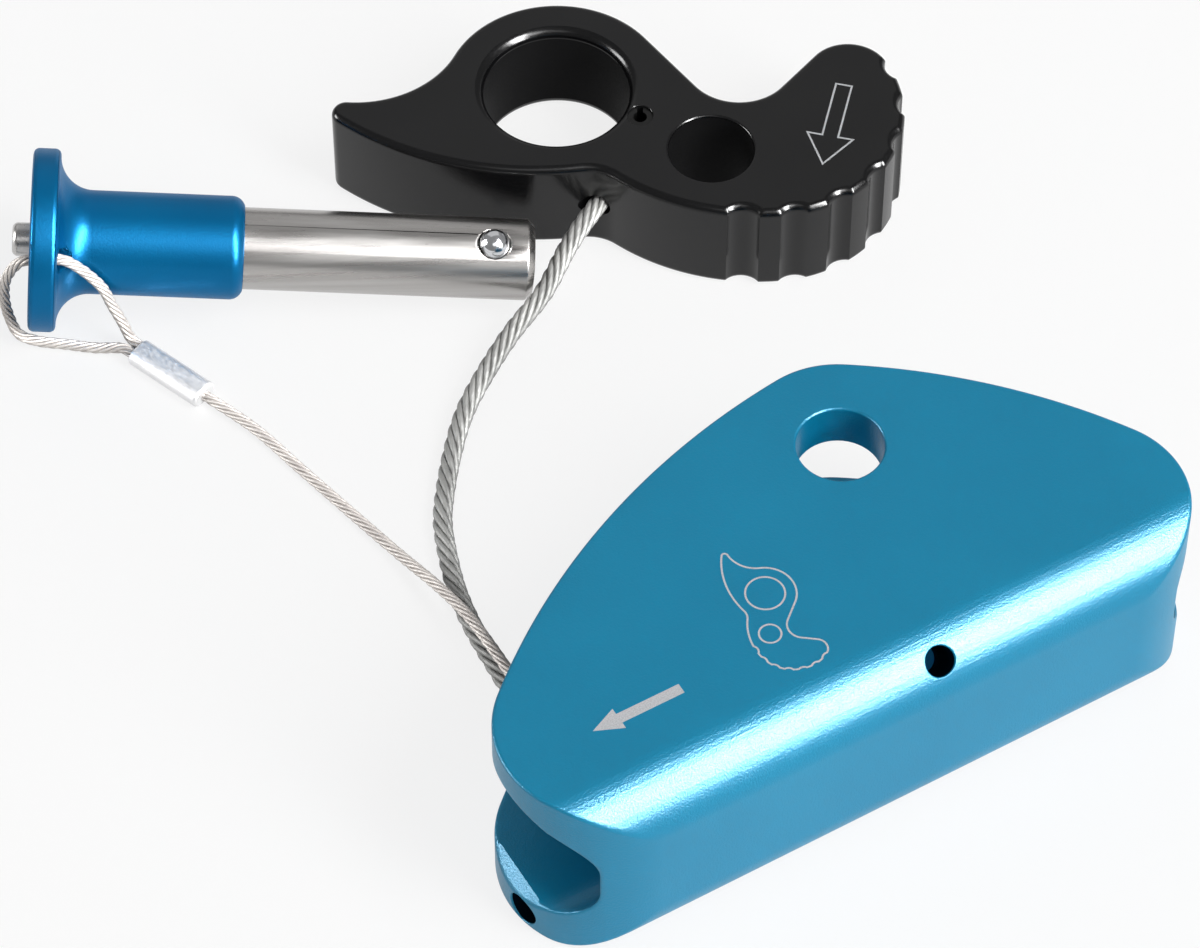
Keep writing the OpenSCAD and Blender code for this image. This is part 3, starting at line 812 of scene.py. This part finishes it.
# Cam with rounded edges, eye, pivot bore, set pin hole and the bore of the rope
def make_cam(finish, lining):
    obj = rounded_plate("cam_body", cam_outline(), CAM_T, CAM_ROUND)
    obj.data.materials.append(finish)
    eye_rim, pivot_rim, pin_rim, bore_rim = 1.2, 0.3, 0.12, 0.1
    pin_r, bore_r = 1.5, 1.7
    half = CAM_T / 2 + 0.2
    pin_at = CAM_AT + Vector((-4.5, 8.6))
    pin_depth = CAM_T / 2 + 3.4
    bore_at = CAM_AT + Vector((-12.5, 4.3))
    bore_depth, bore_reach = 11, 8
    bore_axis = -polar((0, 0), 1, 18).to_3d()

    def outside(y, z):
        return bore_reach

    cutters = []
    for z, up in ((CAM_T, (0, 0, 1)), (0, (0, 0, -1))):
        eye = (CAM_AT.x + EYE_C[0], CAM_AT.y + EYE_C[1], z)
        pivot = (CAM_AT.x, CAM_AT.y, z)
        cutters.append(hole_cutter(eye, up, EYE_R, half, eye_rim, flat, finish, lining, 96))
        cutters.append(hole_cutter(pivot, up, PIVOT_R, half, pivot_rim, flat, finish, lining, 72))
    cutters.append(hole_cutter((pin_at.x, pin_at.y, CAM_T), (0, 0, 1), pin_r, pin_depth, pin_rim,
                               flat, finish, lining))
    cutters.append(hole_cutter((bore_at.x, bore_at.y, CAM_T / 2), bore_axis, bore_r, bore_depth, bore_rim,
                               outside, finish, lining))
    cut_holes(obj, cutters)
    return obj


# Outline of the cam as a fitting sign on the shell
def make_cam_sign(material):
    place, scale, turn, line = Vector((-19.8, -17.7)), 0.26, math.radians(-57.4), 0.2

    def on_shell(p):
        x, y = p - CAM_AT
        return place + scale * Vector((x * math.cos(turn) - y * math.sin(turn),
                                       x * math.sin(turn) + y * math.cos(turn)))

    eye = arc(CAM_AT + Vector(EYE_C), EYE_R, 0, 360, 6)[:-1]
    pivot = arc(CAM_AT, PIVOT_R, 0, 360, 8)[:-1]
    outlines = [[on_shell(p) for p in outline] for outline in (cam_outline(), eye, pivot)]
    return make_mark("cam_sign", outlines, SHELL_H, line, material)


# Math node on two sockets, or on a socket and a number
def add_math(tree, operation, first, second):
    node = tree.nodes.new("ShaderNodeMath")
    node.operation = operation
    for socket, value in zip(node.inputs, (first, second)):
        if isinstance(value, float):
            socket.default_value = value
        else:
            tree.links.new(value, socket)
    return node.outputs[0]


# White table: white to the eye and in reflections, with the object's shadow left on it
def make_floor():
    size, white_share = 2.5, 0.82
    floor = make_mesh("floor", [(-size, -size, 0), (size, -size, 0), (size, size, 0), (-size, size, 0)],
                      [(0, 1, 2, 3)])
    material, tree, shader = make_material("white_table", Base_Color=(0.86, 0.86, 0.86, 1), Roughness=0.9)
    path = tree.nodes.new("ShaderNodeLightPath").outputs
    seen = add_math(tree, "MAXIMUM", path["Is Camera Ray"], path["Is Glossy Ray"])
    seen = add_math(tree, "MAXIMUM", seen, path["Is Transmission Ray"])
    share = add_math(tree, "MULTIPLY", seen, white_share)
    white = tree.nodes.new("ShaderNodeEmission")
    white.inputs["Strength"].default_value = 1.0
    mix = tree.nodes.new("ShaderNodeMixShader")
    tree.links.new(share, mix.inputs["Fac"])
    tree.links.new(shader.outputs["BSDF"], mix.inputs[1])
    tree.links.new(white.outputs["Emission"], mix.inputs[2])
    tree.links.new(mix.outputs["Shader"], tree.nodes["Material Output"].inputs["Surface"])
    floor.data.materials.append(material)


# Rectangular lamp in a direction from the object, its second side along the given line
def make_softbox(name, direction, along, distance, size, radiance, gloss_only=False):
    data = bpy.data.lights.new(name, "AREA")
    data.shape = "RECTANGLE"
    data.size, data.size_y = size
    data.energy = radiance * math.pi * size[0] * size[1]
    lamp = bpy.data.objects.new(name, data)
    aim = Vector((-10, 20, 10)) * MM
    back = Vector(direction).normalized()
    side = Vector(along).cross(back).normalized()
    lamp.location = aim + back * distance
    lamp.rotation_euler = Matrix((side, back.cross(side), back)).transposed().to_euler()
    lamp.visible_diffuse = not gloss_only
    bpy.context.scene.collection.objects.link(lamp)


# Even grey surroundings, a little lighter above
def make_world():
    world = bpy.data.worlds.new("studio")
    bpy.context.scene.world = world
    world.use_nodes = True
    tree = world.node_tree
    coords = tree.nodes.new("ShaderNodeTexCoord")
    axes = tree.nodes.new("ShaderNodeSeparateXYZ")
    tree.links.new(coords.outputs["Generated"], axes.inputs["Vector"])
    ramp_to(tree, axes.outputs["Z"], tree.nodes["Background"].inputs["Color"], 0.26, 0.30, at=(0.0, 1.0))


make_camera()

# Wire ropes, on the same routes as the solids
CAM_TETHER_D = 2.3 * MM
PIN_TETHER_D = 1.3 * MM
CAM_TETHER_LAY = 11.5 * MM
PIN_TETHER_LAY = 7.5 * MM
cam_tether_route = [
    (5.6, 57.8, 6.5), (3.3, 57.1, 6.5), (-2.7, 53.7, 6.1), (-8.6, 49.6, 5.2), (-14.3, 47.2, 3.8),
    (-19.3, 44.5, 2.6), (-24, 41.2, 1.8), (-27.8, 37.3, 1.3), (-31.2, 33, 1.17), (-33.7, 29.2, 1.17),
    (-35.6, 24.6, 1.17), (-37.1, 19.8, 1.17), (-38, 14.6, 1.17), (-38.4, 9.4, 1.17), (-38.7, 4, 1.37),
    (-38.7, -4.8, 1.96)]
pin_tether_route = [
    (-48.45, 59.25, 1.2), (-45.6, 52, 0.9), (-43.8, 44.5, 0.7), (-41.9, 36.2, 0.7), (-40.2, 27.7, 1.3),
    (-39.2, 20, 3.2), (-38.7, 14, 4.2), (-38.6, 7, 4.3), (-38.7, 1, 3.96), (-38.7, -4.6, 3.86)]
loop_route = [
    (-51.25, 68.6, 1.2), (-51.9, 70.4, 1.7), (-52.4, 71, 4), (-53.2, 71.6, 7), (-54.3, 72.3, 11),
    (-57, 74.2, 14.7), (-59.45, 75.53, 15.15), (-61.7, 76.8, 14.8), (-63.3, 77.7, 12), (-63.8, 77.9, 8.5),
    (-63.6, 77.6, 5), (-62.9, 77, 2.2), (-61, 75.9, 0.9), (-58.5, 74.1, 0.7), (-55.8, 71.9, 0.7),
    (-53.25, 69.95, 1.1), (-52.55, 68.1, 1.2)]
rope_steel = plain_metal(
    "rope_steel", (0.19, 0.19, 0.185, 1), (0.28, 0.28, 0.272, 1), roughness=0.68, scale=3000, depth=0.1)
thin_rope_steel = plain_metal(
    "thin_rope_steel", (0.39, 0.365, 0.35, 1), (0.51, 0.485, 0.46, 1), roughness=0.64, scale=3000, depth=0.1)

cam_tether, cam_path, cam_length = make_wire_rope(
    "cam_tether_rope", cam_tether_route, CAM_TETHER_D, CAM_TETHER_LAY, rope_steel)
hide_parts("cam_tether")
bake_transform(cam_tether)

pin_tether, pin_path, pin_length = make_wire_rope(
    "pin_tether_rope", pin_tether_route, PIN_TETHER_D, PIN_TETHER_LAY, thin_rope_steel)
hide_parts("pin_tether")
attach(pin_tether, "pin")

loop, loop_path, loop_length = make_wire_rope(
    "tether_loop_rope", loop_route, PIN_TETHER_D, PIN_TETHER_LAY, thin_rope_steel)
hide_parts("tether_loop")
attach(loop, "pin")

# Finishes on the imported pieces
shell_blue = anodised(
    "shell_blue", (0.0005, 0.225, 0.40, 1), (0.001, 0.245, 0.43, 1),
    metallic=0.12, roughness=0.36, depth=0.6, coat=0.65)
# Near-black lining for the shell's drilled holes: painted shade inside the bores, much darker than the
# shell's own blue
bore_painted_shade = anodised(
    "bore_painted_shade", (0.001, 0.006, 0.012, 1), (0.001, 0.008, 0.016, 1),
    metallic=0.0, roughness=0.9, depth=0.3, coat=0.0)
handle_blue = anodised(
    "handle_blue", (0.0003, 0.125, 0.30, 1), (0.0005, 0.14, 0.33, 1),
    metallic=0.4, roughness=0.36, depth=0.2, coat=0.15)
cam_black = black_anodised("black_anodised", specular=0.32, roughness=0.2)
bored_black = black_anodised("bored_black", specular=0.06, roughness=0.6)
sleeve_steel = streaked_steel(
    "sleeve_steel", (0.34, 0.325, 0.315, 1), (0.45, 0.44, 0.43, 1), roughness=0.27, turn=PIN_TURN)
button_steel = plain_metal(
    "button_steel", (0.44, 0.43, 0.42, 1), (0.55, 0.54, 0.53, 1), roughness=0.3, scale=2600, depth=0.05)
polished = plain_metal(
    "polished_steel", (0.62, 0.63, 0.65, 1), (0.72, 0.73, 0.75, 1), roughness=0.14, scale=2600, depth=0.02)
hidden_steel = plain_metal(
    "dull_steel", (0.36, 0.36, 0.37, 1), (0.48, 0.48, 0.49, 1), roughness=0.35, scale=2600, depth=0.1)
dark_steel = plain_metal(
    "dark_steel", (0.02, 0.02, 0.02, 1), (0.04, 0.04, 0.04, 1), roughness=0.35, scale=2600, depth=0.1)
aluminium = plain_metal(
    "bright_aluminium", (0.66, 0.66, 0.67, 1), (0.76, 0.76, 0.76, 1), roughness=0.5, scale=1800, depth=0.08)
finishes = {
    "pin_handle": handle_blue, "pin_sleeve": sleeve_steel, "push_button": button_steel,
    "spindle": hidden_steel, "ball_upper": polished, "ball_lower": polished,
    "cam_set_pin": dark_steel, "cam_tether_fitting": hidden_steel, "tether_anchor": hidden_steel,
    "crimp_ferrule": aluminium}
for node, material in finishes.items():
    dress(node, material)
soften("pin_handle", width=0.3, segments=3)
soften("pin_sleeve", width=0.15, segments=2)
soften("push_button", width=0.2, segments=2)
soften("crimp_ferrule", width=0.4, segments=3)

# Return spring inside the handle, which shortens as the button goes in
spring = make_spring("return_spring_coil", PIN_ORIGIN, PIN_AXIS, SPRING_START, SPRING_END, hidden_steel)
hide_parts("return_spring")
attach(spring, "pin")
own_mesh(spring)

# Shell and cam with their rounded edges
shell_body = make_shell(shell_blue, bore_painted_shade)
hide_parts("shell")
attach(shell_body, "shell")
cam_body = make_cam(cam_black, bored_black)
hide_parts("cam")
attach(cam_body, "cam")

# Direction arrows and the fitting sign
pale_mark = marked_surface()
shell_arrow_outline = arrow_points(
    (-42.3, -19.0), math.radians(180), length=10.8, head_l=3.2, head_w=2.8, shaft_w=1.25)
shell_arrow = make_mark("shell_arrow", [shell_arrow_outline], SHELL_H, 0, pale_mark)
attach(shell_arrow, "shell")
cam_sign = make_cam_sign(pale_mark)
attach(cam_sign, "shell")
cam_arrow_outline = arrow_points(
    (25.6, 44.1), math.radians(226.6), length=12.8, head_l=4.7, head_w=5.8, shaft_w=2.1)
cam_arrow = make_mark("cam_arrow", [cam_arrow_outline], CAM_T, 0.22, pale_mark)
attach(cam_arrow, "cam")

# Floor, light and view
make_floor()
make_world()
make_softbox("softbox_front", (0.36, -0.70, 0.62), (0, 0.66, 0.75),
             distance=1.3, size=(0.4, 1.4), radiance=7.6)
make_softbox("strip_front", (0.36, -0.70, 0.62), (0, 0.66, 0.75),
             distance=1.25, size=(0.34, 1.25), radiance=58, gloss_only=True)
make_softbox("softbox_wide", (0.24, -0.64, 0.73), (0, 0.73, 0.68),
             distance=1.28, size=(0.9, 0.6), radiance=7, gloss_only=True)
make_softbox("softbox_top", (-0.1, -0.55, 0.83), (0, 0.83, 0.55),
             distance=1.3, size=(1.2, 0.5), radiance=1.3)
make_softbox("softbox_back", (0.308, 0.75, 0.58), (0, -0.61, 0.79),
             distance=1.3, size=(1.3, 1.15), radiance=0.4)
make_softbox("softbox_left", (-0.79, 0.52, 0.31), (0, 0, 1),
             distance=1.2, size=(0.5, 0.5), radiance=20, gloss_only=True)
bpy.context.scene.view_settings.view_transform = "Standard"
